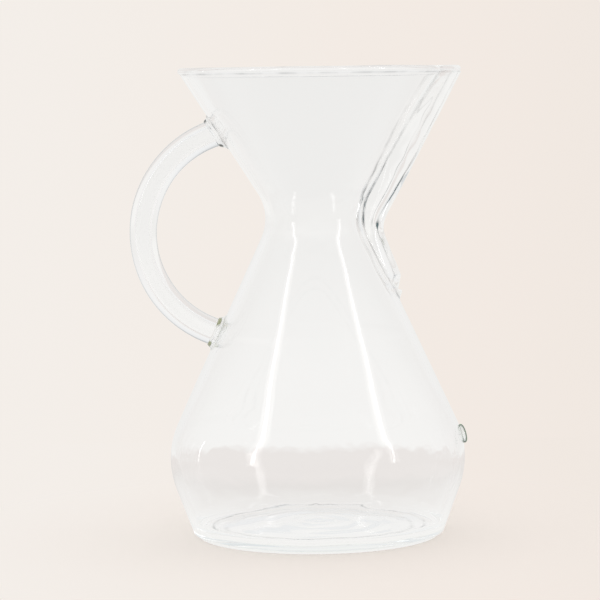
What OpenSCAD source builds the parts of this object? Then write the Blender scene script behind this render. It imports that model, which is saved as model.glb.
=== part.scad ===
// Pour-over coffee maker in clear glass: a blown hourglass with a pour channel
// down one side, and a bent glass tube welded on as its handle.
// The vessel's axis is Z, the table is at z = 0, and the channel faces +X.

/* [Vessel] */
// Height of the rim above the table
height = 241.3; // [225:0.1:260]
// Largest diameter of the flask
flask_d = 152.4; // [146:0.2:162]
// Height of the flask's largest diameter
flask_widest_h = 40; // [36:0.5:44]
// Radius of the curve round the flask's largest diameter
flask_curve_r = 42.5; // [39:0.5:46]
// How far the foot's flat lies inside the flask's largest radius
foot_inset = 14.2; // [12:0.2:17]
// Rounding of the foot's edge
foot_round_r = 3; // [2:0.25:4]
// Narrowest outer diameter of the waist
waist_d = 51.2; // [48:0.2:56]
// Height of the waist, as a share of the rim's height
waist_share = 0.68; // [0.66:0.005:0.7]
// Radius of the waist's curve, seen from the side
waist_curve_r = 24; // [18:0.5:30]
// Outer diameter of the funnel at its rim
rim_d = 139; // [132:0.5:146]
// Thickness of the blown wall
wall = 2.6; // [2:0.1:3.2]
// Thickness of the round bead that the rim is melted to
rim_bead_d = 3.8; // [3.6:0.1:4.4]

/* [Base] */
// Thickness of the glass under the flask
floor_t = 5; // [4:0.25:7]
// Rounding between the floor and the side, inside
floor_round_r = 8; // [6:0.5:10]
// Width of the flat ring that the vessel stands on
foot_ring_w = 14; // [8:0.5:22]
// Depth of the hollow under the foot
push_up_depth = 2.5; // [1.5:0.25:4]

/* [Pour channel] */
// How far the tip of the lip stands out past the rim
lip_proud = 7.5; // [5:0.5:10]
// How far the channel's own axis leans out from the upright, in degrees
channel_lean = 12; // [10:0.5:14]
// How far the channel stands out of the waist
channel_proud = 10.4; // [8.5:0.1:12]
// Radius of the channel at the waist
channel_waist_r = 12; // [10.5:0.25:13.5]
// Radius of the channel's bend over the waist, seen from the side
channel_bend_r = 14; // [12:0.5:17]
// Radius of the channel's round end
channel_end_r = 14; // [12:0.5:16]
// Distance from the channel's axis to the middle of its round end
channel_end_x = 14; // [13:0.25:15]
// Distance below the waist to the middle of the channel's round end
channel_end_drop = 33; // [29:0.5:37]

/* [Handle] */
// Outer diameter of the handle's tube
handle_d = 14; // [12:0.5:16]
// Bore of the handle's tube
handle_bore_d = 6; // [4:0.5:8]
// Radius of the handle's arc, at the middle of the tube
handle_bend_r = 54; // [50:0.5:58]
// Distance from the axis to the outermost point of the handle
handle_reach = 95.5; // [92:0.5:99]
// How far the middle of the handle's arc is below the waist
handle_drop = 7.5; // [3:0.5:12]
// Radius of the flare where a weld runs out onto the wall
weld_flare_r = 2.6; // [2:0.2:3.4]
// Thickness of a weld's edges, on the tube and on the wall
weld_edge = 0.9; // [0.8:0.1:1.4]

/* [Fill button] */
// Diameter of the button where it meets the wall
button_d = 10; // [8:0.5:12]
// How far the button stands out of the wall
button_proud = 2.3; // [1.6:0.1:3]
// Height of the button's middle on the wall
button_h = 51; // [46:0.5:56]

/* [Hidden] */
$fn = 128;

glass = [0.88, 0.92, 0.91, 0.55];
green_edge = [0.66, 0.76, 0.66, 0.8];
hair_share = 0.0005;
sector_spread = 5;
bead_corner_share = 1.04;

// An outline is a chain of circles [x, height, radius], joined by straight
// legs that touch them, with the glass on the left of the way along it.
// A negative radius is a hollow curve, and a radius of zero is a plain end.
waist_h = height * waist_share;
foot = [flask_d / 2 - foot_inset, foot_round_r, foot_round_r];
bulge = [flask_d / 2 - flask_curve_r, flask_widest_h, flask_curve_r];
waist = [waist_d / 2 + waist_curve_r, waist_h, -waist_curve_r];
rim_h = height - rim_bead_d / 2;
rim_middle = [rim_d / 2 - rim_bead_d / 2, rim_h, 0];
rim = [rim_middle.x + wall / 2 / leg_normal(inset(waist, wall / 2), rim_middle).x, rim_h, 0];
outside = [[0, 0, 0], foot, bulge, waist, rim];

// The channel's outline stands on its own leaning axis, with its heights
// counted from the waist. It ends a little above the rim.
channel_end = [channel_end_x, -channel_end_drop, channel_end_r];
channel_bend = [channel_waist_r + channel_bend_r, 0, -channel_bend_r];
channel_offset = waist_d / 2 + channel_proud - channel_waist_r;
lip_reach = rim_d / 2 + lip_proud;
lip_rise = rim_h - waist_h;
lip_tip = lip_reach - rim_bead_d / 2;
lip_middle = [
    (lip_tip - channel_offset) * cos(channel_lean) - lip_rise * sin(channel_lean),
    (lip_tip - channel_offset) * sin(channel_lean) + lip_rise * cos(channel_lean),
    0
];
lip = let (normal = leg_normal(inset(channel_bend, wall / 2), lip_middle))
    [lip_middle.x + wall / 2 * normal.x, lip_middle.y + wall / 2 * normal.y, 0];

push_up_r = (pow(foot.x - foot_ring_w, 2) + pow(push_up_depth, 2)) / (2 * push_up_depth);
handle_middle = [handle_reach - handle_d / 2 - handle_bend_r, waist_h - handle_drop];
button_ball_r = (pow(button_d / 2, 2) + pow(button_proud, 2)) / (2 * button_proud);

function flat(c) = [c.x, c.y];

function inset(c, depth) = [c.x, c.y, c.z - depth];

// The angle and the outward normal of the leg from circle a to circle b
function leg_angle(a, b) =
    let (way = flat(b) - flat(a))
    atan2(way.y, way.x) - asin((b.z - a.z) / norm(way));

function leg_normal(a, b) =
    let (angle = leg_angle(a, b))
    [sin(angle), -cos(angle)];

function leg_start(a, b) = flat(a) + a.z * leg_normal(a, b);

function leg_end(a, b) = flat(b) + b.z * leg_normal(a, b);

// The plain end b moved on along its leg from circle a
function run_on(a, b, length) =
    let (angle = leg_angle(a, b))
    [b.x + length * cos(angle), b.y + length * sin(angle), b.z];

// The floor's rounding touches the floor and the side's inner face
function floor_round() =
    let (
        normal = leg_normal(foot, bulge),
        h = floor_t + floor_round_r,
        side = normal * leg_start(foot, bulge) - wall - floor_round_r
    )
    [(side - normal.y * h) / normal.x, h, floor_round_r];

// Where the handle's arc meets the leg from a to b, as an angle on the arc
function weld_angle(a, b, side) =
    let (
        normal = leg_normal(a, b),
        distance = normal * (leg_start(a, b) - handle_middle)
    )
    atan2(normal.y, normal.x) + side * acos(distance / handle_bend_r);

upper_weld = weld_angle(waist, rim, 1);
lower_weld = weld_angle(bulge, waist, -1);

// Where the middles of the channel's and the funnel's walls cross at the rim,
// seen from above
function rim_crossing() =
    let (
        taper = 1 / tan(leg_angle(inset(channel_bend, wall / 2), lip_middle)),
        middle_r = lip_middle.x + taper * (lip_rise * cos(channel_lean) - lip_middle.y),
        a = pow(sin(channel_lean), 2) * (1 + pow(taper, 2)),
        b = channel_offset + sin(channel_lean) * (taper * middle_r + lip_rise * cos(channel_lean)),
        c = pow(channel_offset, 2) + pow(middle_r, 2)
            - pow(lip_rise * sin(channel_lean), 2) - pow(rim_middle.x, 2),
        x = channel_offset + (sqrt(b * b - a * c) - b) / a
    )
    [x, sqrt(pow(rim_middle.x, 2) - x * x)];

// The lip's bead is a ring from one crossing over the tip to the other
lip_depth = lip_tip - rim_crossing().x;
lip_ring_r = (pow(rim_crossing().y, 2) + pow(lip_depth, 2)) / (2 * lip_depth);

// The sector of circle c between the legs at two angles. It is let out by a
// hair, so that it crosses the legs instead of just touching them.
module arc_sector(c, from, to) {
    spread = sign(c.z) * sector_spread;
    rays = [from - spread, (from + to) / 2, to + spread];
    intersection() {
        translate(flat(c))
            circle(abs(c.z) * (1 + hair_share));
        polygon([flat(c), for (ray = rays) flat(c) + 2 * c.z * [sin(ray), -cos(ray)]]);
    }
}

// The outline's plane shape, from the axis out, closed level at its last point
module outline(chain) {
    last = len(chain) - 1;
    legs = [for (i = [0:last - 1]) [chain[i], chain[i + 1]]];
    angles = [for (leg = legs) leg_angle(leg[0], leg[1])];
    top = leg_end(chain[last - 1], chain[last]);
    difference() {
        union() {
            polygon([
                for (leg = legs) each [leg_start(leg[0], leg[1]), leg_end(leg[0], leg[1])],
                [0, top.y]
            ]);
            for (i = [1:last - 1])
                if (chain[i].z > 0)
                    arc_sector(chain[i], angles[i - 1], angles[i]);
        }
        for (i = [1:last - 1])
            if (chain[i].z < 0)
                arc_sector(chain[i], angles[i - 1], angles[i]);
    }
}

// The channel as a solid, with its surface the given depth inside the glass.
// It is a slimmer hourglass that leans out through the vessel's side.
module channel_solid(depth) {
    translate([channel_offset, 0, waist_h])
        rotate([0, channel_lean, 0])
            rotate_extrude()
                outline([
                    [0, channel_end.y - channel_end.z + depth, 0],
                    inset(channel_end, depth),
                    inset(channel_bend, depth),
                    inset(run_on(channel_bend, lip, rim_bead_d), depth)
                ]);
}

// Everything inside the vessel's outer surface, up to the rim
module filled_vessel() {
    rotate_extrude()
        outline(outside);
    intersection() {
        channel_solid(0);
        cylinder(h = rim_h, r = lip_reach);
    }
}

module push_up(depth) {
    translate([0, 0, push_up_depth - push_up_r])
        sphere(push_up_r + depth);
}

module cavity() {
    difference() {
        rotate_extrude()
            outline([
                [0, floor_t, 0],
                floor_round(),
                inset(bulge, wall),
                inset(waist, wall),
                inset(rim, wall)
            ]);
        push_up(floor_t);
    }
    channel_solid(wall);
}

// One ring of the rim's bead, round the middle line of a wall
module bead_ring(x, r) {
    translate([x, 0, rim_h])
        rotate_extrude()
            translate([r, 0])
                circle(rim_bead_d / 2);
}

// The bead runs round the funnel's rim and out over the lip. Its two rings are
// mitred where they cross, and the glass is a little thicker there.
module rim_bead() {
    crossing = rim_crossing();
    lip_x = lip_tip - lip_ring_r;
    mitre = (atan2(crossing.y, crossing.x) + atan2(crossing.y, crossing.x - lip_x)) / 2;
    wedge_x = crossing.x - crossing.y / tan(mitre);
    difference() {
        bead_ring(0, rim_middle.x);
        lip_wedge(wedge_x, mitre);
    }
    intersection() {
        bead_ring(lip_x, lip_ring_r);
        lip_wedge(wedge_x, mitre);
    }
    for (side = [-1, 1])
        translate([crossing.x, side * crossing.y, rim_h])
            sphere(rim_bead_d / 2 * bead_corner_share);
}

module lip_wedge(x, spread) {
    translate([x, 0, waist_h])
        linear_extrude(height)
            polygon(lip_reach * [[0, 0], [cos(spread), -sin(spread)], [cos(spread), sin(spread)]]);
}

module vessel() {
    color(glass) {
        difference() {
            filled_vessel();
            cavity();
            push_up(0);
        }
        rim_bead();
    }
}

// A round rod along the handle's arc, run one tube's width into the wall
module handle_rod(r) {
    bury = asin(handle_d / handle_bend_r);
    mirror([1, 0, 0])
        translate([handle_middle.x, 0, handle_middle.y])
            rotate([90, 0, 0])
                rotate_extrude(angle = upper_weld - lower_weld + 2 * bury, start = lower_weld - bury)
                    translate([handle_bend_r, 0])
                        circle(r);
}

module handle() {
    color(glass)
        difference() {
            handle_rod(handle_d / 2);
            handle_rod(handle_bore_d / 2);
            filled_vessel();
        }
}

// A flared ring round the tube, square to the wall that it runs out onto
module weld(angle, normal) {
    seat = handle_middle + handle_bend_r * [cos(angle), sin(angle)];
    foot_r = handle_d / 2 + weld_edge + weld_flare_r;
    difference() {
        mirror([1, 0, 0])
            translate([seat.x, 0, seat.y])
                rotate([0, atan2(normal.x, normal.y), 0])
                    rotate_extrude()
                        difference() {
                            translate([0, -foot_r])
                                square([foot_r, foot_r + weld_edge + weld_flare_r]);
                            translate([foot_r, weld_edge + weld_flare_r])
                                circle(weld_flare_r);
                        }
        handle_rod(handle_d / 2);
        filled_vessel();
    }
}

module upper_handle_weld() {
    color(green_edge)
        weld(upper_weld, leg_normal(waist, rim));
}

module lower_handle_weld() {
    color(green_edge)
        weld(lower_weld, leg_normal(bulge, waist));
}

// A shallow cap of glass on the flask, on the channel's side. It is so thin
// that the flask cut out of it has finer facets.
module volume_button() {
    lift = asin((button_h - bulge.y) / bulge.z);
    depth = bulge.z - button_ball_r + button_proud;
    color(green_edge)
        difference() {
            translate([bulge.x + depth * cos(lift), 0, bulge.y + depth * sin(lift)])
                sphere(button_ball_r);
            filled_vessel($fn = 3 * $fn);
        }
}

vessel();
handle();
upper_handle_weld();
lower_handle_weld();
volume_button();
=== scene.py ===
import math

import bmesh
import bpy
import numpy as np
from mathutils import Matrix, Vector


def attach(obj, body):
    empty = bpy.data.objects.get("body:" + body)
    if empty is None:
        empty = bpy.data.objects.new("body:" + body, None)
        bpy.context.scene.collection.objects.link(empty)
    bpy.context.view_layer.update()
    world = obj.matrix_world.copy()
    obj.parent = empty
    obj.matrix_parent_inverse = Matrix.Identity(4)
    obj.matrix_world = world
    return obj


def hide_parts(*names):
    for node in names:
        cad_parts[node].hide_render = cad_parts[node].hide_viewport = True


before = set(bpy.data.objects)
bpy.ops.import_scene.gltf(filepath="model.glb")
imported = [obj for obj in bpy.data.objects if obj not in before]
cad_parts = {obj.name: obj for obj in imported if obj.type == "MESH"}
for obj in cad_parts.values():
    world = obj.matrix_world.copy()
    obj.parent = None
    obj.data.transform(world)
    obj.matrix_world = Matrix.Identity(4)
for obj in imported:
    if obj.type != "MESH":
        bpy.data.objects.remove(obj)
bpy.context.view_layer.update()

# Sizes in millimetres, the same as in the part's source
HEIGHT, WALL, BEAD = 241.3, 2.6, 3.8
FOOT_R, FOOT_ROUND = 62.0, 3.0
FLASK_R, FLASK_H, FLASK_CURVE = 76.2, 40.0, 42.5
WAIST_R, WAIST_H, WAIST_CURVE = 25.6, HEIGHT * 0.68, 24.0
RIM_R, RIM_H = 69.5, HEIGHT - BEAD / 2
FLOOR_T, FLOOR_ROUND = 5.0, 8.0
PUSH_R, PUSH_DEPTH = 48.0, 2.5
LIP_REACH, LEAN, OFFSET = 77.0, math.radians(12.0), 24.0
CHANNEL_R, CHANNEL_BEND = 12.0, 14.0
END_R, END_X, END_DROP = 14.0, 14.0, 33.0
TUBE_R, BORE_R, ARC_R = 7.0, 3.0, 54.0
ARC_X, ARC_Z = -34.5, WAIST_H - 7.5
BUTTON_R, BUTTON_PROUD, BUTTON_Z = 5.0, 2.3, 51.0

# Sizes in millimetres that only the visual has
RIM_ROUND = 3.3                    # the fire-polished edge, a little slimmer than the source's bead
RIM_Z = HEIGHT - RIM_ROUND / 2
CHANNEL_WALL = 4.8                 # the glass gathers in the channel
WAIST_PINCH, END_PINCH, PINCH_REACH = 0.6, 0.7, 30.0   # the channel narrows at the waist and below
SOFT_OUT, SOFT_IN, SOFT_SEAT = 1.5, 2.6, 1.6           # how softly the channel runs into the wall
SEAM = -0.05                       # pieces that are melted together run this far into each other
RIM_RUN, LIP_RUN = 8.0, 12.0       # how far the outlines run on past the rim
CHANNEL_FROM = 105.0               # from here up a row of the wall may have the channel in it
FINE_BELOW, FINE_STEP, WIDE_STEP = 22.0, 0.45, 1.2     # rows lie closer together at the thick base
END_BELOW, END_STEP, FUNNEL_STEP = 140.0, 0.6, 0.9     # and at the channel's lower end
BASE_ROWS = 48                     # rows of the hollow under the base, and of the floor over it
RIM_ARC = (-50, 172, 17)           # the rim's bead runs between these degrees, in so many rows
DOME_R = 34.0                      # inside this radius the floor follows the hollow under it
SEARCH_BACK, SEARCH_TO, SEARCH_STEPS = 1.5, 84.0, 240  # radii at which the wall is looked for
FADE = 12.0                        # unevenness fades out over this height at the foot and the rim
CALM_FROM, CALM_REACH, CALM_SHARE = 125.0, 25.0, 0.1   # the channel is calmer at its lower end

# Unevenness of the glass: its height and the length of its waves in millimetres, and its seed
WALL_WAVE, BELLY_WAVE, NECK_WAVE = (0.16, 62, 5), (0.04, 13, 41), (0.08, 9, 44)
CHANNEL_WAVE_OUT, CHANNEL_WAVE_IN = (0.06, 9, 61), (0.07, 10, 62)
FUNNEL_WAVE_IN, FLASK_WAVE_IN = (0.05, 80, 11), (0.05, 60, 17)
PUSH_WAVE, FLOOR_WAVE, RIM_WAVE = (0.14, 34, 3), (0.26, 32, 23), (0.10, 40, 29)
RIPPLE_WAVES, RIPPLE_PEAK = 7, 3.2                     # so many waves seldom add up to more
RINGS_UNDER, RINGS_ON_FLOOR = (0.07, 0.62), (0.06, 0.5)   # faint rings: height, and how close


# Outlines. A chain is a list of circles (x, y, radius) that straight legs touch one after another;
# a negative radius is a hollow curve.
def leg(a, b):
    """The unit normal of the line that touches circles a and b."""
    dx, dy = b[0] - a[0], b[1] - a[1]
    angle = math.atan2(dy, dx) - math.asin((b[2] - a[2]) / math.hypot(dx, dy))
    return np.array([math.sin(angle), -math.cos(angle)])


def chain_points(chain, step):
    """Points (x, y) and normals along a chain."""
    points, normals = [], []
    legs = [leg(a, b) for a, b in zip(chain, chain[1:])]
    for i, n in enumerate(legs):
        start = np.array(chain[i][:2]) + chain[i][2] * n
        end = np.array(chain[i + 1][:2]) + chain[i + 1][2] * n
        for t in np.linspace(0, 1, max(2, int(np.linalg.norm(end - start) / step))):
            points.append(start + (end - start) * t)
            normals.append(n)
        if i + 1 < len(legs):
            x, y, radius = chain[i + 1]
            a0 = math.atan2(n[1], n[0])
            a1 = math.atan2(legs[i + 1][1], legs[i + 1][0])
            for a in np.linspace(a0, a1, max(3, int(abs(a1 - a0) * abs(radius) / step)))[1:-1]:
                m = np.array([math.cos(a), math.sin(a)])
                points.append(np.array([x, y]) + radius * m)
                normals.append(m)
    return np.array(points), np.array(normals)


def inset(circle, depth):
    return (circle[0], circle[1], circle[2] - depth)


def run_out(a, mid, depth, extra):
    """The end of a leg from circle a through mid, at a depth in the glass, run on by a length."""
    n = leg(inset(a, WALL / 2), mid)
    p = np.array(mid[:2]) + (WALL / 2 - depth) * n + extra * np.array([-n[1], n[0]])
    return (p[0], p[1], 0.0)


def lean_local(x, z):
    """Turns a point of the plane y = 0 into the channel's own leaning frame."""
    c, s = math.cos(LEAN), math.sin(LEAN)
    u, v = x - OFFSET, z - WAIST_H
    return u * c - v * s, u * s + v * c


FOOT = (FOOT_R, FOOT_ROUND, FOOT_ROUND)
BULGE = (FLASK_R - FLASK_CURVE, FLASK_H, FLASK_CURVE)
WAIST = (WAIST_R + WAIST_CURVE, WAIST_H, -WAIST_CURVE)
RIM_MID = (RIM_R - BEAD / 2, RIM_H, 0.0)
CHANNEL_END = (END_X, -END_DROP, END_R)
CHANNEL_TURN = (CHANNEL_R + CHANNEL_BEND, 0.0, -CHANNEL_BEND)
LIP_MID = (*lean_local(LIP_REACH - BEAD / 2, RIM_H), 0.0)


def wall_chain(depth):
    """The turned body's outline at a depth in the glass, from the foot up."""
    foot = [inset(FOOT, depth)] if depth else [(FOOT_R, 0.0, 0.0), FOOT]
    return foot + [inset(BULGE, depth), inset(WAIST, depth), run_out(WAIST, RIM_MID, depth, RIM_RUN)]


def channel_depth(depth):
    """The depth in the channel's thicker glass that belongs to a depth in the wall."""
    return CHANNEL_WALL if depth else 0.0


def channel_chain(depth):
    """The channel's outline in its own frame, from its lower end up to the lip."""
    deep = channel_depth(depth)
    return [inset(CHANNEL_END, deep), inset(CHANNEL_TURN, deep),
            run_out(CHANNEL_TURN, LIP_MID, deep, LIP_RUN)]


class Profile:
    """A turned surface: its radius and its normal's radial share, by height."""

    def __init__(self, chain):
        p, n = chain_points(chain, 0.5)
        order = np.argsort(p[:, 1])
        self.z, self.r, self.n = p[order, 1], p[order, 0], n[order, 0]

    def radius(self, z):
        return np.interp(z, self.z, self.r)

    def share(self, z):
        return np.interp(z, self.z, self.n)


PROFILES = {d: (Profile(wall_chain(d)), Profile(channel_chain(d))) for d in (0.0, WALL)}


# The blown surface, as a distance to it
def smooth_min(a, b, k):
    h = np.maximum(k - np.abs(a - b), 0) / k
    return np.minimum(a, b) - h * h * k / 4


def bump_at(value, middle, width):
    """One at the middle, falling off smoothly on both sides."""
    return np.exp(-((value - middle) / width) ** 2)


def distances(p, depth):
    """Roughly the distances from points p to the turned body and to the channel."""
    body, channel = PROFILES[depth]
    x, y, z = p[..., 0], p[..., 1], p[..., 2]
    d_body = (np.hypot(x, y) - body.radius(z)) * body.share(z)
    lx, lz = lean_local(x, z)
    narrow = (1 + WAIST_PINCH * bump_at(np.maximum(lz, 0), 0, PINCH_REACH)
              + END_PINCH * np.clip(-lz / END_DROP, 0, 1) ** 1.5)
    lr = np.hypot(lx, y * narrow)
    d_tube = (lr - channel.radius(lz)) * channel.share(lz)
    end = np.hypot(np.maximum(lr - END_X, 0), lz + END_DROP) - (END_R - channel_depth(depth))
    return d_body, np.where(lz < -END_DROP, end, d_tube)


def distance(p, depth=0.0, soft=SOFT_SEAT):
    """Roughly the distance from points p to the blown surface at a depth in the glass."""
    return smooth_min(*distances(p, depth), soft)


def surface_radius(theta, z, depth, soft):
    """The outermost radius of the surface along each direction theta, at height z."""
    base = float(PROFILES[depth][0].radius(z))
    radii = np.linspace(base - SEARCH_BACK, SEARCH_TO, SEARCH_STEPS)
    p = np.empty((len(theta), len(radii), 3))
    p[..., 0] = np.cos(theta)[:, None] * radii
    p[..., 1] = np.sin(theta)[:, None] * radii
    p[..., 2] = z
    d = distance(p, depth, soft)
    inside = d < 0
    last = inside.shape[1] - 1 - np.argmax(inside[:, ::-1], axis=1)
    last = np.clip(last, 0, len(radii) - 2)
    i = np.arange(len(theta))
    a, b = d[i, last], d[i, last + 1]
    return radii[last] + (radii[1] - radii[0]) * a / (a - b)


# Mesh helpers
def ripple(wave, x, y, z):
    """Smooth, repeatable unevenness of about plus or minus the wave's height."""
    height, length, seed = wave
    rng = np.random.default_rng(seed)
    total = 0
    for _ in range(RIPPLE_WAVES):
        k = rng.normal(size=3)
        k *= rng.uniform(0.6, 1.6) / np.linalg.norm(k) * 2 * math.pi / length
        total = total + np.sin(k[0] * x + k[1] * y + k[2] * z + rng.uniform(0, 2 * math.pi))
    return height * (total / RIPPLE_PEAK)


def make_object(name, verts_mm, faces):
    mesh = bpy.data.meshes.new(name)
    mesh.from_pydata((np.asarray(verts_mm) * 0.001).tolist(), [], faces)
    mesh.validate()
    mesh.update()
    mesh.polygons.foreach_set("use_smooth", [True] * len(mesh.polygons))
    obj = bpy.data.objects.new(name, mesh)
    bpy.context.scene.collection.objects.link(obj)
    return obj


def add_values(obj, name, values):
    """Keeps one number for each point of the mesh, for its material."""
    obj.data.attributes.new(name, "FLOAT", "POINT").data.foreach_set("value", values)


def grid_faces(rows, cols, closed_rows=False):
    """Quads of a grid whose columns close on themselves."""
    faces = []
    for i in range(rows if closed_rows else rows - 1):
        a, b = i * cols, ((i + 1) % rows) * cols
        for j in range(cols):
            k = (j + 1) % cols
            faces.append((a + j, a + k, b + k, b + j))
    return faces


def capped(rows):
    """Points and faces of a stack of closed rows, with a fan over each end."""
    verts, count = np.concatenate(rows), len(rows[0])
    faces = grid_faces(len(rows), count)
    first, last, end = len(verts), len(verts) + 1, (len(rows) - 1) * count
    for j in range(count):
        k = (j + 1) % count
        faces.append((first, k, j))
        faces.append((last, end + j, end + k))
    return np.concatenate([verts, [rows[0].mean(0)], [rows[-1].mean(0)]]), faces


def outward(obj):
    """Turns every face of a closed mesh to look outwards."""
    bm = bmesh.new()
    bm.from_mesh(obj.data)
    bmesh.ops.recalc_face_normals(bm, faces=bm.faces)
    bm.to_mesh(obj.data)
    bm.free()


# Vessel. Its rows run from the middle of the underside out, up, over the rim and down to the floor.
# Their points lie closer together over the channel, so many degrees to either side of it.
SPAN = 52
THETA = np.radians(np.concatenate([np.linspace(-SPAN, SPAN, 233), np.linspace(SPAN, 360 - SPAN, 165)[1:-1]]))
COS, SIN = np.cos(THETA), np.sin(THETA)
NEAR_CHANNEL = bump_at(np.where(THETA > math.pi, THETA - 2 * math.pi, THETA), 0, 0.36)
HOLLOW_R = (PUSH_R ** 2 + PUSH_DEPTH ** 2) / (2 * PUSH_DEPTH)


def ring(r, z):
    return np.stack([COS * r, SIN * r, np.ones(len(THETA)) * z], -1)


def ring_wave(wave, r, z=0.0):
    return ripple(wave, COS * r, SIN * r, z)


def body_wave(r, z):
    """The mould's unevenness, which the inner and the outer surface share."""
    x, y = COS * r, SIN * r
    return (ripple(WALL_WAVE, x, y, z) + bump_at(z, 36, 17) * ripple(BELLY_WAVE, x, y, 0.7 * z)
            + bump_at(z, 163, 13) * ripple(NECK_WAVE, 0.4 * x, 0.4 * y, z))


def hollow(r):
    """The height of the hollow under the base."""
    return PUSH_DEPTH - HOLLOW_R + math.sqrt(HOLLOW_R ** 2 - r * r)


def rings(size, r):
    height, rate = size
    return height * math.sin(r * rate)


def flask_points(chain):
    """Points of a chain below the channel, closer together at the base."""
    fine, _ = chain_points(chain, FINE_STEP)
    wide, _ = chain_points(chain, WIDE_STEP)
    fine = fine[fine[:, 1] < FINE_BELOW]
    wide = wide[(wide[:, 1] > FINE_BELOW + 0.4) & (wide[:, 1] < CHANNEL_FROM - 1)]
    points = np.concatenate([fine, wide])
    apart = np.linalg.norm(np.diff(points, axis=0), axis=1) > 0.05
    return points[np.concatenate([[True], apart])]


def underside_rows():
    """The hollow under the base, and the flat ring that the vessel stands on."""
    rows = []
    for r in np.linspace(0.4, PUSH_R - 1.5, BASE_ROWS):
        wave = np.clip(rings(RINGS_UNDER, r) + ring_wave(PUSH_WAVE, r), -0.5, 0.5)
        rows.append(ring(r, hollow(r) + wave * min(1, (PUSH_R - r) / 10)))
    rows += [ring(PUSH_R + 0.3, 0.05), ring(PUSH_R + 2.5, 0.0)]
    return rows + [ring(r, 0.0) for r in np.linspace(PUSH_R + 4, FOOT_R, 8)]


def blown_rows(heights, depth, soft, channel_wave, wall_wave=None):
    """The wall above the flask, with the channel in it."""
    rows = []
    for z in heights:
        r = surface_radius(THETA, z, depth, soft)
        calm = min(1, max(CALM_SHARE, (z - CALM_FROM) / CALM_REACH))
        wave = calm * NEAR_CHANNEL * ring_wave(channel_wave, r, 0.7 * z) + body_wave(r, z)
        if wall_wave:
            wave = wave + ring_wave(wall_wave, r, z)
        rows.append(ring(r + wave * min(1, (RIM_Z - z) / FADE), z))
    return rows


def rim_rows():
    """The rim's bead, round the middle line of the wall."""
    outer = ring(surface_radius(THETA, RIM_Z, 0.0, SOFT_OUT), RIM_Z)
    inner = ring(surface_radius(THETA, RIM_Z, WALL, SOFT_IN), RIM_Z)
    middle = (outer + inner) / 2
    along = np.roll(middle, -1, 0) - np.roll(middle, 1, 0)
    out = np.stack([along[:, 1], -along[:, 0], 0 * THETA], -1)
    out /= np.linalg.norm(out, axis=1)[:, None]
    half, uneven = RIM_ROUND / 2, ring_wave(RIM_WAVE, RIM_R) - RIM_WAVE[0]
    rows = []
    for a in np.radians(np.linspace(*RIM_ARC)):
        rise = half * math.sin(a) + uneven * max(0, math.sin(a))
        rows.append(middle + out * half * math.cos(a) + np.array([0, 0, 1]) * rise[:, None])
    return rows


def inside_rows():
    """The inside of the flask, down its wall and in over the thick floor."""
    normal = leg(FOOT, BULGE)
    side = np.dot(normal, np.array(FOOT[:2]) + FOOT_ROUND * normal) - WALL - FLOOR_ROUND
    h = FLOOR_T + FLOOR_ROUND
    corner = ((side - normal[1] * h) / normal[0], h, FLOOR_ROUND)
    chain = [(0.0, FLOOR_T, 0.0), corner, inset(BULGE, WALL), inset(WAIST, WALL)]
    rows = []
    for r, z in flask_points(chain)[::-1]:
        if r > DOME_R:
            z = max(z, FLOOR_T + max(0.0, hollow(r)))
            low = ring_wave(FLOOR_WAVE, r) * max(0, 1 - z / 16)
            rows.append(ring(r + body_wave(r, z) + ring_wave(FLASK_WAVE_IN, r, z), z + low))
    for r in np.linspace(DOME_R - 0.7, 0.4, BASE_ROWS):
        wave = ring_wave(FLOOR_WAVE, r) + rings(RINGS_ON_FLOOR, r)
        rows.append(ring(r, FLOOR_T + hollow(r) + wave))
    return rows


# The vessel's painted shade lines at its folds, rim and base, as (darkness, middle, width): by height, or at
# the base by radius
FOLD_OVER_BEND, FOLD_AT_END, FOLD_POINT = (0.9, 176, 17), (0.6, 122, 7), (0.8, WAIST_H - 2, 2.2)
EDGE_OVER_BEND, EDGE_POINT = (0.9, 177, 17), (1.0, WAIST_H - 3, 2.2)
RIM_LINE, RIM_TOP = (0.6, HEIGHT - RIM_ROUND, 0.4), (0.5, HEIGHT, 0.3)
FLOOR_CORNER, HOLLOW_EDGE = (0.9, 55, 0.8), (0.7, PUSH_R + 0.5, 0.8)
FOLD_WIDTH, GROOVE_WIDTH, ON_SURFACE = 0.6, 2.5, 0.9
# By height: how far the channel's inner edge lies inside its outline
EDGE_INSIDE = ((165, 176, 196, 230), (3.6, 2.4, 1.6, 1.8))


def line_at(value, line):
    darkness, middle, width = line
    return darkness * bump_at(value, middle, width)


def fold_lines(verts):
    """Painted shade along the folds where the channel leaves the body, and how deep each point lies in the
    channel.
    """
    crease_shade, groove = np.zeros(len(verts)), np.zeros(len(verts))
    at_bend = 1 + line_at(verts[:, 2], FOLD_POINT)
    for depth in (0.0, WALL):
        body, tube = distances(verts, depth)
        on = bump_at(np.minimum(body, tube), 0, ON_SURFACE)
        crease_shade = np.maximum(crease_shade, on * bump_at(body, tube, FOLD_WIDTH) * at_bend)
        groove = np.maximum(groove, on * np.clip((body - tube) / GROOVE_WIDTH, 0, 1))
    return crease_shade, groove


def inner_edge_shade(x, z):
    """Painted shade: a dark line at the edge where the channel's wall thickens, a little inside its outline.
    """
    lx, lz = lean_local(x, z)
    point = line_at(z, EDGE_POINT)
    middle = PROFILES[0.0][1].radius(lz) - np.interp(z, *EDGE_INSIDE)
    return bump_at(lx, middle, 0.30 + 0.5 * point) * (0.5 + line_at(z, EDGE_OVER_BEND) + 2 * point)


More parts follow.
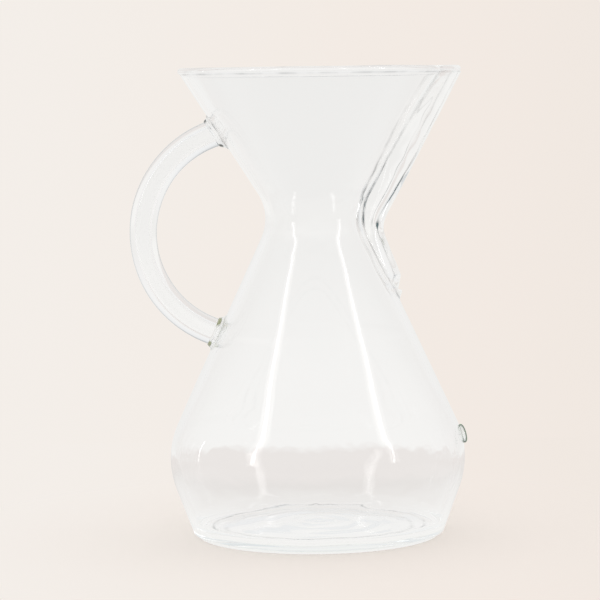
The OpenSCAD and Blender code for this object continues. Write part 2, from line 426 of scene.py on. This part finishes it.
def vessel_shade_lines(verts):
    """How strongly the painted shade lines show at each point, and how deep the point lies in the channel,
    which sets the channel's painted edge shade.
    """
    x, y, z = verts.T
    r = np.hypot(x, y)
    crease_shade, groove = fold_lines(verts)
    by_height = 0.4 + line_at(z, FOLD_OVER_BEND) + line_at(z, FOLD_AT_END)
    channel = np.maximum(crease_shade * by_height, inner_edge_shade(x, z) * (groove > 0.3))
    base = line_at(r, FLOOR_CORNER) * ((z > 4) & (z < 9)) + line_at(r, HOLLOW_EDGE) * (z < 0.5)
    rim = line_at(z, RIM_LINE) + line_at(z, RIM_TOP)
    at_channel = (x > 0) & (z > 100)
    lines = np.maximum(np.where(at_channel, channel, base), rim)
    return np.clip(lines, 0, 2), np.clip(groove * by_height, 0, 1) * at_channel


def build_vessel():
    heights = np.concatenate([np.arange(CHANNEL_FROM, END_BELOW, END_STEP),
                              np.arange(END_BELOW, RIM_Z - 1.5, FUNNEL_STEP)])
    rows = underside_rows()
    rows += [ring(r + body_wave(r, z) * min(1, z / FADE), z) for r, z in flask_points(wall_chain(0.0)[1:])]
    rows += blown_rows(heights, 0.0, SOFT_OUT, CHANNEL_WAVE_OUT)
    rows += rim_rows()
    rows += blown_rows(heights[::-1][1:], WALL, SOFT_IN, CHANNEL_WAVE_IN, FUNNEL_WAVE_IN)
    rows += inside_rows()
    verts, faces = capped(rows)
    obj = make_object("blown_vessel", verts, faces)
    # painted shade lines, and the channel's painted edge shade, for the material
    crease_shade, groove = vessel_shade_lines(verts)
    add_values(obj, "crease_shade", crease_shade)
    add_values(obj, "groove", groove)
    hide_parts("vessel")
    return obj


# Handle and welds. Arc angles are about the middle of the handle's bend.
UPPER, LOWER = math.radians(109), math.radians(254)
AROUND = np.linspace(0, 2 * math.pi, 97)[:-1]
ALONG = 320

# A weld's outline: distance from the tube, height over the wall, the seam's line of painted shade, the
# painted dark marks
WELD_PROFILE = ((SEAM, 3.3, 0.0, 0.0), (0.25, 3.4, 1.0, 4.0), (0.5, 3.2, 0.0, 4.0), (0.8, 2.6, 0.0, 4.0),
                (1.1, 1.9, 0.0, 4.0), (1.5, 1.25, 0.0, 0.0), (2.0, 0.75, 0.0, 0.0), (2.5, 0.42, 0.7, 0.0),
                (2.85, 0.2, 0.7, 0.0), (2.8, SEAM, 0.0, 0.0), (1.4, SEAM, 0.0, 0.0), (SEAM, SEAM, 0.0, 0.0))
MARK_TURN = 0.35   # the marks sit this far round from the bend's plane, towards the photo's side

# The button's outline: share of its radius, height over the wall
BUTTON_PROFILE = ((0.12, SEAM), (0.6, SEAM), (0.93, SEAM), (1.0, 0.35), (1.0, 0.8), (0.95, 1.3), (0.84, 1.75),
                  (0.66, 2.05), (0.45, 2.2), (0.22, 2.28), (0.05, BUTTON_PROUD))


def arc_point(t, u, phi):
    """A point at arc angle t, a distance u from the tube's middle line, turned phi round it."""
    radius = ARC_R + u * np.cos(phi)
    return np.stack([ARC_X + radius * np.cos(t), u * np.sin(phi) + 0 * t, ARC_Z + radius * np.sin(t)], -1)


def meet_wall(u, phi, lift, guess):
    """The arc angle at which that line of the tube stands a given height over the wall."""
    t = np.full(np.broadcast(u, phi).shape, float(guess))
    for _ in range(12):
        d = distance(arc_point(t, u, phi)) - lift
        e = distance(arc_point(t + 1e-4, u, phi)) - lift
        t = t - np.clip(d / ((e - d) / 1e-4), -0.2, 0.2)
    return t


def build_handle():
    """The bent tube, with slightly uneven outside and bore. Its bore has the second material."""
    rows = []
    for u, order, swell, turns, phase in ((TUBE_R, 1, 0.06, 7.0, 0.6), (BORE_R, -1, 0.12, 5.0, 0.0)):
        top = meet_wall(u, AROUND, SEAM, UPPER)
        bottom = meet_wall(u, AROUND, SEAM, LOWER)
        for s in np.linspace(0, 1, ALONG)[::order]:
            t = top + (bottom - top) * s
            rows.append(arc_point(t, u + swell * np.sin(t * turns + phase) * math.sin(math.pi * s), AROUND))
    obj = make_object("bent_tube_handle", np.concatenate(rows), grid_faces(len(rows), len(AROUND), True))
    outside = (ALONG - 1) * len(AROUND)
    bore = np.arange(len(obj.data.polygons)) >= outside
    obj.data.polygons.foreach_set("material_index", bore.astype(np.int32))
    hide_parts("handle")
    return obj


def build_weld(name, node, guess, mark_width):
    """A ring melted round the tube: thick on the tube, running out thin on the wall, with painted shade along
    its seams and marks.
    """
    marks = np.maximum(bump_at(AROUND, math.pi + MARK_TURN, mark_width),
                       bump_at(np.cos(AROUND + MARK_TURN), 1, mark_width ** 2 / 2))
    uneven = 1 + 0.10 * np.sin(2 * AROUND + 0.8) + 0.05 * np.sin(5 * AROUND)
    rows, lines = [], []
    for u, lift, seam, dark in WELD_PROFILE:
        lines.append(seam + dark * marks)
        reach = TUBE_R + (u * uneven if u > 0 else u)
        t = meet_wall(reach, AROUND, lift * (0.92 + 0.08 * math.sin(lift)), guess)
        rows.append(arc_point(t, reach, AROUND))
    obj = make_object(name, np.concatenate(rows), grid_faces(len(rows), len(AROUND), True))
    add_values(obj, "crease_shade", np.concatenate(lines))
    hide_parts(node)
    return obj


def build_button():
    """A drop of glass pressed onto the flask."""
    lift = math.asin((BUTTON_Z - BULGE[1]) / BULGE[2])
    n = np.array([math.cos(lift), 0, math.sin(lift)])
    up = np.array([-math.sin(lift), 0, math.cos(lift)])
    side = np.array([0.0, 1.0, 0.0])
    seat = np.array([BULGE[0], 0, BULGE[1]]) + BULGE[2] * n
    angle = np.linspace(0, 2 * math.pi, 41)[:-1]
    rows = []
    for share, height in BUTTON_PROFILE:
        p = seat + (np.cos(angle)[:, None] * side + np.sin(angle)[:, None] * up) * (BUTTON_R * share)
        for _ in range(8):
            p = p + n * (height - distance(p))[:, None]
        rows.append(p)
    obj = make_object("fused_fill_button", *capped(rows))
    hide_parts("volume_button")
    return obj


# Materials
def srgb(r, g, b):
    """A linear colour from the 0 to 255 values that a picture shows."""
    def one(c):
        c /= 255
        return c / 12.92 if c <= 0.04045 else ((c + 0.055) / 1.055) ** 2.4
    return (one(r), one(g), one(b), 1.0)


# The backdrop as the camera sees it, from left to right, with painted shade that darkens it towards the right
BACKDROP = srgb(243, 235, 228)
BACKDROP_SHADE_ACROSS = ((0.0, srgb(244, 239, 234)), (0.5, BACKDROP), (0.78, srgb(243, 234, 227)),
                   (1.0, srgb(240, 232, 225)))
BACKDROP_REACH, TABLE_REACH = 0.11, 0.16
# The table as the glass shows it, from the object's middle to its far edge, in metres
TABLE_BACK = 0.350
TABLE_IN_GLASS = ((0.0, srgb(245, 244, 242)), (0.42, srgb(228, 224, 221)), (0.53, srgb(233, 228, 225)),
                  (0.87, srgb(233, 228, 225)), (1.0, srgb(246, 245, 243)))
# The studio as the glass shows it, from straight down to straight up
STUDIO_IN_GLASS = ((0.0, srgb(232, 232, 231)), (0.40, srgb(246, 245, 243)), (0.445, srgb(246, 245, 243)),
                   (0.472, srgb(240, 239, 237)), (0.51, srgb(239, 238, 236)), (0.56, srgb(242, 241, 240)),
                   (0.64, srgb(244, 244, 243)), (0.76, srgb(238, 239, 240)), (1.0, srgb(226, 228, 230)))
OVERHEAD = srgb(88, 100, 104)
ROOM_LIGHT = (0.93, 0.93, 0.93, 1)
# The object's faint shadow runs out between these distances from its middle, in metres. In its
# darkest part the camera sees so much of the plain backdrop's colour.
SHADOW_FROM, SHADOW_TO, SHADOW_PLAIN = 0.07, 0.20, 0.55
TABLE_DROP = 0.0002                # keeps the table's top and the foot's underside apart

CLEAR = (1, 1, 1, 1)
# Painted shade: clear glass darkens towards this colour where it is seen edge on
CLEAR_EDGE_SHADE = (0.62, 0.70, 0.74, 1)
# Painted shade: the channel's edge turns this dark teal, most at its bend
CHANNEL_EDGE_SHADE = (0.12, 0.20, 0.22, 1)
SHADOW_TINT = (0.96, 0.97, 0.965, 1)
# How strongly the mould marked the glass, by share of the height: on the belly and at the waist
MOULD_MARKS = ((0.0, 0.1), (0.10, 0.05), (0.14, 0.8), (0.18, 1.0), (0.24, 0.08), (0.58, 0.03), (0.65, 0.6),
               (0.71, 0.6), (0.78, 0.03), (1.0, 0.05))
# The scales of the noise in the glass, and how much the mould's marks add to its waves
ROUGH_SCALE, WAVE_SCALE, MARK_SCALE, MARK_SHARE = 22, 34, 120, 6.0
# Light leaves the glass after so many mirror bounces, or so many bounces of any kind
MIRROR_BOUNCES, ALL_BOUNCES = 2.5, 10.5


class Nodes:
    """Adds and links the nodes of one material or world."""

    def __init__(self, tree, output):
        tree.nodes.clear()
        self.tree = tree
        self.out = self.add(output)
        self.path = self.add("LightPath").outputs

    def feed(self, socket, value):
        """Sets a socket to a value, or links another node's output to it."""
        if isinstance(value, bpy.types.NodeSocket):
            self.tree.links.new(value, socket)
        else:
            socket.default_value = value

    def add(self, kind, sockets=None, **settings):
        """A new node with its settings, and what its sockets are fed with."""
        node = self.tree.nodes.new("ShaderNode" + kind)
        for name, value in settings.items():
            setattr(node, name, value)
        for name, value in (sockets or {}).items():
            self.feed(node.inputs[name], value)
        return node

    def shader(self, kind, sockets=None):
        return self.add(kind, sockets).outputs[0]

    def blend(self, factor, first, second):
        """A shader that turns from the first to the second."""
        return self.shader("MixShader", {0: factor, 1: first, 2: second})

    def axes(self, vector):
        return self.add("SeparateXYZ", {0: vector}).outputs

    def maths(self, operation, *values):
        return self.add("Math", dict(enumerate(values)), operation=operation).outputs["Value"]

    def noise(self, place, scale, detail=2.0):
        sockets = {"Vector": place, "Scale": scale, "Detail": detail}
        return self.add("TexNoise", sockets).outputs["Fac"]

    def attribute(self, name):
        return self.add("Attribute", attribute_name=name).outputs["Fac"]

    def map_range(self, value, low, high, to_low=0.0, to_high=1.0, kind="LINEAR"):
        sockets = {"Value": value, "From Min": low, "From Max": high, "To Min": to_low, "To Max": to_high}
        return self.add("MapRange", sockets, interpolation_type=kind).outputs["Result"]

    def mix(self, factor, a, b):
        """A colour that turns from a to b."""
        return self.add("Mix", {"Factor": factor, "A": a, "B": b}, data_type="RGBA").outputs["Result"]

    def ramp(self, value, stops, kind="LINEAR"):
        """The colour at a value, between stops of (position, colour) that run from 0 to 1."""
        node = self.add("ValToRGB", {"Fac": value})
        node.color_ramp.interpolation = kind
        elements = node.color_ramp.elements
        elements[0].color, elements[1].color = stops[0][1], stops[-1][1]
        for position, colour in stops[1:-1]:
            elements.new(position).color = colour
        return node.outputs["Color"]

    def seen_in_glass(self):
        """One for what a reflection or a view through glass meets."""
        return self.maths("MAXIMUM", self.path["Is Glossy Ray"], self.path["Is Transmission Ray"])


def new_material(name):
    mat = bpy.data.materials.new(name)
    mat.use_nodes = True
    return mat, Nodes(mat.node_tree, "OutputMaterial")


def mould_marks(n, place, waves):
    """Finer unevenness on the belly and round the waist, where the glass met the mould last."""
    height = n.map_range(n.axes(place)["Z"], 0, HEIGHT / 1000)
    where = n.ramp(height, [(position, (v, v, v, 1)) for position, v in MOULD_MARKS])
    marks = n.maths("MULTIPLY", n.noise(place, MARK_SCALE, 1), where)
    return n.maths("MULTIPLY_ADD", marks, MARK_SHARE, waves)


def paint_crease_shade(n, place, colour, dark, scale):
    """Painted shade: broken dark lines where the glass folds or was melted on."""
    share = n.map_range(n.noise(place, scale), 0.38, 0.60, 0.25, 1.0)
    return n.mix(n.maths("MULTIPLY", n.attribute("crease_shade"), share), colour, dark)


def trapped(n):
    """One for light that would run on and on inside the wall."""
    return n.maths("MAXIMUM", n.maths("GREATER_THAN", n.path["Glossy Depth"], MIRROR_BOUNCES),
                   n.maths("GREATER_THAN", n.path["Ray Depth"], ALL_BOUNCES))


def glass_material(name, edge, edge_span, rough_span, depth_tint=None, lines=None, blown=False, ior=1.47):
    """Fire-polished glass: clear face on, with painted shade where it is seen edge on, and tinted where it is
    deep.

    The spans are of the painted edge shade by how far the surface turns away, and of the roughness. The
    depth's tint is a colour and a density, and the painted shade lines are a colour and the scale of their
    breaks. Blown glass has the mould's marks and painted shade on the channel's edge.
    """
    mat, n = new_material(name)
    place = n.add("TexCoord").outputs["Object"]
    if blown:
        # painted shade in the channel, as strong as the groove value says
        edge = n.mix(n.attribute("groove"), edge, CHANNEL_EDGE_SHADE)
    # painted shade: the colour and the reflections darken towards the edge colour where the glass is seen
    # edge on
    facing = n.add("LayerWeight", {"Blend": 0.25}).outputs["Facing"]
    colour = n.mix(n.map_range(facing, *edge_span), CLEAR, edge)
    sockets = {
        "Transmission Weight": 1.0,
        "IOR": ior,
        "Base Color": paint_crease_shade(n, place, colour, *lines) if lines else colour,
        "Specular Tint": colour,
        "Roughness": n.map_range(n.noise(place, ROUGH_SCALE, 3), 0.5, 0.8, *rough_span),
    }
    if blown:
        waves = mould_marks(n, place, n.noise(place, WAVE_SCALE, 1.5))
        bump = n.add("Bump", {"Strength": 0.05, "Distance": 0.0006, "Height": waves})
        sockets["Normal"] = bump.outputs["Normal"]
    glass = n.shader("BsdfPrincipled", sockets)
    shadow = n.shader("BsdfTransparent", {"Color": SHADOW_TINT})
    surface = n.blend(n.path["Is Shadow Ray"], glass, shadow)
    n.feed(n.out.inputs["Surface"], n.blend(trapped(n), surface, n.shader("BsdfTransparent")))
    if depth_tint:
        sockets = dict(zip(("Color", "Density"), depth_tint))
        n.feed(n.out.inputs["Volume"], n.shader("VolumeAbsorption", sockets))
    return mat


def backdrop_with_painted_shade(n, across, reach):
    """The backdrop's colour: a touch cooler at the left, warmer at the right, and darker there with painted
    shade.
    """
    return n.ramp(n.map_range(across, -reach, reach), BACKDROP_SHADE_ACROSS, "B_SPLINE")


def floor_material():
    """Pale table: the backdrop's colour with its painted shade to the camera, with the object's own faint
    shadow.
    """
    mat, n = new_material("pale_table")
    place = n.add("TexCoord").outputs["Object"]
    axes = n.axes(place)
    lit = n.shader("BsdfDiffuse", {"Color": BACKDROP})
    plain = n.shader("Emission", {"Color": backdrop_with_painted_shade(n, axes["X"], TABLE_REACH)})
    through = n.shader("Emission", {"Color": n.ramp(n.map_range(axes["Y"], 0, TABLE_BACK), TABLE_IN_GLASS)})
    far = n.add("VectorMath", {0: place}, operation="LENGTH").outputs["Value"]
    near = n.blend(n.map_range(far, SHADOW_FROM, SHADOW_TO, SHADOW_PLAIN, 1.0, "SMOOTHSTEP"), lit, plain)
    others = n.blend(n.seen_in_glass(), lit, through)
    n.feed(n.out.inputs["Surface"], n.blend(n.path["Is Camera Ray"], others, near))
    return mat


# Stage, lights and camera
def build_world():
    """The backdrop for the camera, a pale studio in the glass, and plain light on everything else."""
    world = bpy.data.worlds.new("studio")
    bpy.context.scene.world = world
    world.use_nodes = True
    n = Nodes(world.node_tree, "OutputWorld")
    axes = n.axes(n.add("TexCoord").outputs["Generated"])
    # only views through the glass see how dark it is overhead
    above = n.map_range(axes["Z"], 0.55, 0.92, 0, 0.5, "SMOOTHSTEP")
    dim = n.maths("MULTIPLY", above, n.path["Is Transmission Ray"])
    studio = n.mix(dim, n.ramp(n.map_range(axes["Z"], -1, 1), STUDIO_IN_GLASS), OVERHEAD)
    others = n.blend(n.seen_in_glass(), n.shader("Background", {"Color": ROOM_LIGHT}),
                     n.shader("Background", {"Color": studio}))
    # the camera sees the backdrop with painted shade towards the right
    seen = n.shader("Background", {"Color": backdrop_with_painted_shade(n, axes["X"], BACKDROP_REACH)})
    n.feed(n.out.inputs["Surface"], n.blend(n.path["Is Camera Ray"], others, seen))


def build_floor():
    x, front, back = 1.6, -1.6, TABLE_BACK
    mesh = bpy.data.meshes.new("table")
    mesh.from_pydata([(-x, front, 0), (x, front, 0), (x, back, 0), (-x, back, 0)], [], [(0, 1, 2, 3)])
    obj = bpy.data.objects.new("table", mesh)
    obj.location.z = -TABLE_DROP
    bpy.context.scene.collection.objects.link(obj)
    obj.data.materials.append(floor_material())
    return obj


def area_light(name, azimuth, elevation, away, width, height, radiance, lit, through=True):
    """A soft box that looks at the middle of the object and lights one collection.

    Azimuth 0 is the camera's side. Without through, no view through glass shows it.
    """
    data = bpy.data.lights.new(name, "AREA")
    data.shape = "RECTANGLE"
    data.size, data.size_y = width, height
    data.energy = radiance * math.pi * width * height
    obj = bpy.data.objects.new(name, data)
    a, e = math.radians(azimuth), math.radians(elevation)
    target = Vector((0, 0, 0.12))
    place = target + away * Vector((math.sin(a) * math.cos(e), -math.cos(a) * math.cos(e), math.sin(e)))
    turn = (place - target).to_track_quat("Z", "Y").to_matrix().to_4x4()
    obj.matrix_world = Matrix.Translation(place) @ turn
    obj.visible_transmission = through
    obj.light_linking.receiver_collection = lit
    bpy.context.scene.collection.objects.link(obj)


def lit_group(name, *objects):
    """A collection that lamps can be aimed at."""
    group = bpy.data.collections.new(name)
    for obj in objects:
        group.objects.link(obj)
    return group


def build_camera():
    """The photograph's camera: its focal length and shift are in pixels of a 600 pixel picture."""
    sensor, picture, focal, shift = 36, 600, 2608, -16
    place, down, aside = (0, -1.3411, 0.2340), 4.80, -0.745
    data = bpy.data.cameras.new("photo_camera")
    data.sensor_fit = "HORIZONTAL"
    data.sensor_width = sensor
    data.lens = focal * sensor / picture
    data.shift_x = shift / picture
    obj = bpy.data.objects.new("photo_camera", data)
    turn = Matrix.Rotation(math.radians(90 - down), 4, "X") @ Matrix.Rotation(math.radians(aside), 4, "Z")
    obj.matrix_world = Matrix.Translation(place) @ turn
    bpy.context.scene.collection.objects.link(obj)
    bpy.context.scene.camera = obj


build_camera()
build_world()
table = build_floor()

# each glass's first colour is its painted edge shade, where it is seen edge on
clear_glass = glass_material("clear_glass", CLEAR_EDGE_SHADE, (0.6, 1.0), (0.0, 0.02),
                             depth_tint=((0.62, 0.80, 0.74, 1), 0.8),
                             lines=((0.01, 0.025, 0.03, 1), 90), blown=True)
tube_glass = glass_material("tube_glass", (0.40, 0.44, 0.46, 1), (0.32, 0.55), (0.02, 0.05))
# The bore bends light less than real glass does, because the photograph hardly shows it
bore_glass = glass_material("bore_glass", (0.95, 0.96, 0.96, 1), (0.5, 1.0), (0.14, 0.20), ior=1.18)
# the welds' painted shade lines: near black on the upper weld, olive on the lower
weld_glass, olive_shade_glass = (
    glass_material(name, (0.80, 0.84, 0.78, 1), (0.4, 0.8), (0.02, 0.06),
                   depth_tint=((0.45, 0.70, 0.35, 1), 3.0), lines=(dark, 170))
    for name, dark in (("weld_glass", (0.004, 0.006, 0.004, 1)), ("olive_shade_glass", (0.16, 0.18, 0.07, 1))))
button_glass = glass_material("button_glass", (0.003, 0.02, 0.003, 1), (0.10, 0.34), (0.0, 0.02),
                              depth_tint=((0.30, 0.60, 0.30, 1), 8.0))

vessel = build_vessel()
handle = build_handle()
upper = build_weld("upper_weld_ring", "upper_handle_weld", UPPER, 0.22)
lower = build_weld("lower_weld_ring", "lower_handle_weld", LOWER, 0.5)
button = build_button()
for piece, slot, *materials in ((vessel, "clear_glass", clear_glass),
                                (handle, "handle_glass", tube_glass, bore_glass),
                                (upper, "weld_glass", weld_glass),
                                (lower, "weld_glass", olive_shade_glass),
                                (button, "weld_glass", button_glass)):
    for material in materials:
        piece.data.materials.append(material)
    outward(piece)
    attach(piece, "root")

# Narrow strips light the blown body and the table, and a broader one the handle
body_lit = lit_group("body_lit", vessel, button, table)
handle_lit = lit_group("handle_lit", handle, upper, lower)
area_light("strip_left", -52, 27, 1.3, 0.055, 1.15, 4.5, body_lit)
area_light("strip_left_glow", -52, 27, 1.32, 0.20, 1.2, 0.9, body_lit)
area_light("strip_right", 60, 27, 1.3, 0.055, 1.15, 4.5, body_lit)
area_light("strip_right_glow", 60, 27, 1.32, 0.18, 1.2, 0.9, body_lit)
area_light("side_strip", -104, 5, 1.3, 0.03, 0.40, 4, body_lit, False)
area_light("handle_strip", -58, 30, 1.3, 0.09, 0.9, 2.5, handle_lit, False)

bpy.context.scene.view_settings.view_transform = "Standard"
bpy.context.scene.cycles.max_bounces = 32
bpy.context.scene.cycles.transmission_bounces = 32
bpy.context.scene.cycles.glossy_bounces = 16
bpy.context.scene.cycles.sample_clamp_indirect = 1.2
